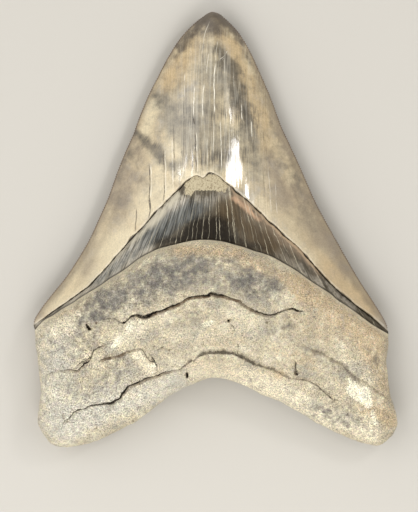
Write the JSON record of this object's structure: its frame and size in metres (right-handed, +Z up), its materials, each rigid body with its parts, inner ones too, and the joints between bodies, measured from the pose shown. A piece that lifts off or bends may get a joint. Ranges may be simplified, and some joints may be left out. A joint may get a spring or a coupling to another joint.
{
  "type": "fossil shark tooth",
  "caption": "Broad triangular fossil shark tooth with a glossy enamel blade, a dark neck band and a thick V-shaped root, lying on its flat outer face.",
  "frame": {"origin": "on the resting plane, under the middle of the tooth's box", "axes": "+X runs across the root, +Y from the root lobes to the tip, +Z up through the bulging inner (lingual) face"},
  "size_m": [0.0954, 0.1142, 0.024],
  "materials": {
    "fossil_tooth": "glossy tan and grey enamel, satin dark neck band, matte grainy buff and grey root"
  },
  "bodies": {
    "root": {"tooth": "fossil_tooth"}
  },
  "joints": []
}
